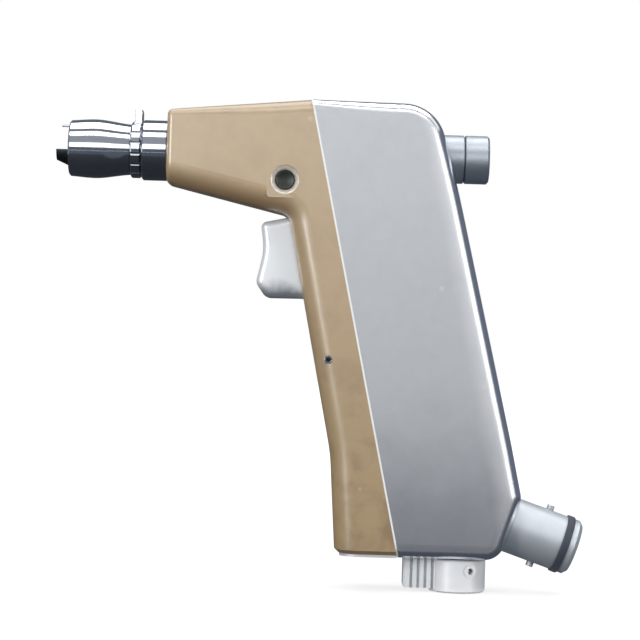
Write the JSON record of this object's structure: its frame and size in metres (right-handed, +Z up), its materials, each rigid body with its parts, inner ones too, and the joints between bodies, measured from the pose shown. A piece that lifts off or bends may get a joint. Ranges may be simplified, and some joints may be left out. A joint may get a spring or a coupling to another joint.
{
  "type": "surgical power drill",
  "caption": "Air-driven pistol-grip surgical drill with cannulated spindle, quick-release nose, trigger, safety bolt, base lever and bayonet hose port.",
  "frame": {"origin": "mouth of the tool socket, on the spindle axis", "axes": "+X from the nose to the rear along the spindle, +Z up with the grip hanging down, +Y across"},
  "size_m": [0.2155, 0.0383, 0.1943],
  "materials": {
    "tan_casting": "champagne satin anodised",
    "silver_casting": "satin with polished rear edge",
    "chrome": "polished",
    "polished_steel": "polished",
    "satin_steel": "satin turned",
    "dark_steel": "blackened",
    "black_anodised": "black anodised",
    "pale_aluminium": "polished",
    "white_gasket": "smooth",
    "vane_resin": "cloth-filled resin",
    "seal_rubber": "moulded",
    "bronze": "sintered"
  },
  "bodies": {
    "body": {"front_housing": "tan_casting", "rear_housing": "silver_casting", "housing_gasket": "white_gasket", "grip_screws": "dark_steel", "base_plate": "satin_steel", "base_plate_screws": "satin_steel", "nose_sleeve": "chrome", "locating_blade": "satin_steel", "chuck_sleeve": "chrome", "gear_case": "satin_steel", "gear_case_cover": "satin_steel", "ring_gear": "satin_steel", "spindle_seal": "seal_rubber", "spindle_bearings": "polished_steel", "motor_cylinder": "satin_steel", "motor_front_plate": "bronze", "motor_rear_plate": "bronze", "motor_bearings": "polished_steel", "cannula_tube": "polished_steel", "cannula_boss": "silver_casting", "valve_body": "silver_casting", "trigger_spring": "satin_steel", "button_detent": "polished_steel", "inlet_tube": "satin_steel", "exhaust_silencer": "bronze", "hose_spigot": "satin_steel", "bayonet_pins": "polished_steel", "spigot_oring": "seal_rubber"},
    "spindle_group": {"spindle": "satin_steel", "drive_dog": "dark_steel", "locking_balls": "polished_steel", "locking_spring": "satin_steel", "spindle_races": "polished_steel", "output_carrier": "satin_steel", "output_planet_pins": "polished_steel"},
    "lock": {"locking_ring": "satin_steel"},
    "input_stage": {"input_carrier": "satin_steel", "input_planet_pins": "polished_steel"},
    "motor_rotor": {"rotor_shaft": "satin_steel", "rotor": "satin_steel", "rotor_vanes": "vane_resin", "rotor_races": "polished_steel"},
    "collar": {"release_collar": "chrome"},
    "trigger_group": {"trigger": "pale_aluminium", "valve_stem": "polished_steel"},
    "button": {"safety_button": "black_anodised"},
    "lever": {"base_lever": "pale_aluminium", "lever_screw": "polished_steel", "selector_shaft": "satin_steel"},
    "cap": {"cannula_cap": "satin_steel", "cap_seal": "seal_rubber"},
    "output_planet_1": {"output_planet_1": "satin_steel"},
    "output_planet_2": {"output_planet_2": "satin_steel"},
    "output_planet_3": {"output_planet_3": "satin_steel"},
    "input_planet_1": {"input_planet_1": "satin_steel"},
    "input_planet_2": {"input_planet_2": "satin_steel"},
    "input_planet_3": {"input_planet_3": "satin_steel"}
  },
  "joints": [
    {"name": "motor_spin", "type": "hinge", "parent": "body", "child": "motor_rotor", "pos_m": [0.12, 0, 0], "axis": [1, 0, 0], "continuous": true},
    {"name": "spindle_spin", "type": "hinge", "parent": "body", "child": "spindle_group", "pos_m": [0.02, 0, 0], "axis": [1, 0, 0], "continuous": true},
    {"name": "input_stage_spin", "type": "hinge", "parent": "body", "child": "input_stage", "pos_m": [0.065, 0, 0], "axis": [1, 0, 0], "continuous": true},
    {"name": "output_planet_1_spin", "type": "hinge", "parent": "spindle_group", "child": "output_planet_1", "pos_m": [0.0597, 0, 0.0072], "axis": [1, 0, 0], "continuous": true},
    {"name": "output_planet_2_spin", "type": "hinge", "parent": "spindle_group", "child": "output_planet_2", "pos_m": [0.0597, -0.00624, -0.0036], "axis": [1, 0, 0], "continuous": true},
    {"name": "output_planet_3_spin", "type": "hinge", "parent": "spindle_group", "child": "output_planet_3", "pos_m": [0.0597, 0.00624, -0.0036], "axis": [1, 0, 0], "continuous": true},
    {"name": "input_planet_1_spin", "type": "hinge", "parent": "input_stage", "child": "input_planet_1", "pos_m": [0.0728, 0, 0.0072], "axis": [1, 0, 0], "continuous": true},
    {"name": "input_planet_2_spin", "type": "hinge", "parent": "input_stage", "child": "input_planet_2", "pos_m": [0.0728, -0.00624, -0.0036], "axis": [1, 0, 0], "continuous": true},
    {"name": "input_planet_3_spin", "type": "hinge", "parent": "input_stage", "child": "input_planet_3", "pos_m": [0.0728, 0.00624, -0.0036], "axis": [1, 0, 0], "continuous": true},
    {"name": "collar_turn", "type": "hinge", "parent": "body", "child": "collar", "pos_m": [0.0268, 0, 0], "axis": [1, 0, 0], "range_deg": [0, 30], "stiffness_Nm_per_rad": 0.03, "springref_deg": -11.46},
    {"name": "lock_slide", "type": "slide", "parent": "spindle_group", "child": "lock", "axis": [1, 0, 0], "range_m": [0, 0.0025], "deforming": ["locking_spring"]},
    {"name": "trigger_press", "type": "slide", "parent": "body", "child": "trigger_group", "axis": [0.9772, 0, 0.2122], "range_m": [0, 0.006], "stiffness_N_per_m": 700, "springref_m": -0.004, "deforming": ["trigger_spring"]},
    {"name": "safety_push", "type": "slide", "parent": "body", "child": "button", "axis": [0, -1, 0], "range_m": [0, 0.004]},
    {"name": "lever_turn", "type": "hinge", "parent": "body", "child": "lever", "pos_m": [0.1603, 0, -0.1665], "axis": [0, 0, 1], "range_deg": [-35, 35]},
    {"name": "cap_turn", "type": "hinge", "parent": "body", "child": "cap", "pos_m": [0.163, 0, 0], "axis": [1, 0, 0], "range_deg": [0, 90]}
  ],
  "couplings": [
    {"joint": "spindle_spin", "follows": "motor_spin", "ratio": 0.0625},
    {"joint": "input_stage_spin", "follows": "motor_spin", "ratio": 0.25},
    {"joint": "output_planet_1_spin", "follows": "motor_spin", "ratio": -0.1875},
    {"joint": "output_planet_2_spin", "follows": "motor_spin", "ratio": -0.1875},
    {"joint": "output_planet_3_spin", "follows": "motor_spin", "ratio": -0.1875},
    {"joint": "input_planet_1_spin", "follows": "motor_spin", "ratio": -0.75},
    {"joint": "input_planet_2_spin", "follows": "motor_spin", "ratio": -0.75},
    {"joint": "input_planet_3_spin", "follows": "motor_spin", "ratio": -0.75},
    {"joint": "lock_slide", "follows": "collar_turn", "m_per_rad": 0.004774}
  ]
}
